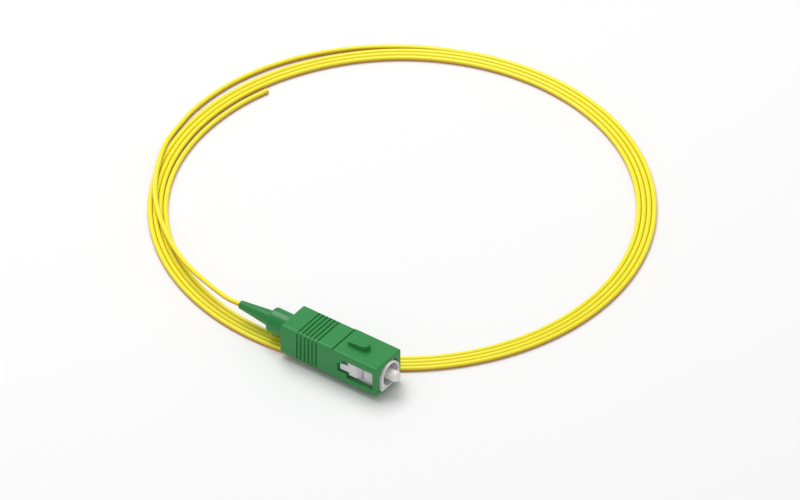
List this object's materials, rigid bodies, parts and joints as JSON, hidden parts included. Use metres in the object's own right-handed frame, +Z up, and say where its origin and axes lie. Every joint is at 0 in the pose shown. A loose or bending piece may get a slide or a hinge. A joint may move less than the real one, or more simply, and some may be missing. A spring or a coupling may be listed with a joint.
{
  "type": "fibre optic pigtail",
  "caption": "Push-pull fibre connector with a green grip sleeve and tail boot, on a flat coil of yellow buffered cord with a bare cut end.",
  "frame": {"origin": "bottom centre of the whole part's box, on the surface that the coil lies on", "axes": "+Z up, along the coil's axis; +X along the ferrule, out of the connector's front; +Y from the connector towards the coil's centre"},
  "size_m": [0.1102, 0.1096, 0.0103],
  "materials": {
    "grip": "green moulded plastic, satin",
    "frame": "off-white moulded plastic",
    "ceramic": "ground white ceramic, polished end",
    "nickel": "nickel-plated, turned",
    "steel": "drawn spring wire",
    "boot": "green soft plastic, satin",
    "cord": "yellow buffer, smooth with a soft sheen"
  },
  "bodies": {
    "plug": {"inner_frame": "frame", "back_body": "nickel", "boot": "boot", "spring": "steel", "cord_lead": "cord", "cord_coil": "cord", "cord_tail": "cord"},
    "sleeve": {"outer_housing": "grip"},
    "ferrule": {"ferrule": "ceramic", "ferrule_flange": "nickel"}
  },
  "joints": [
    {"name": "sleeve_slide", "type": "slide", "parent": "plug", "child": "sleeve", "axis": [1, 0, 0], "range_m": [-0.0018, 0]},
    {"name": "ferrule_slide", "type": "slide", "parent": "plug", "child": "ferrule", "axis": [1, 0, 0], "range_m": [-0.001, 0], "stiffness_N_per_m": 1500, "deforming": ["spring"]}
  ]
}
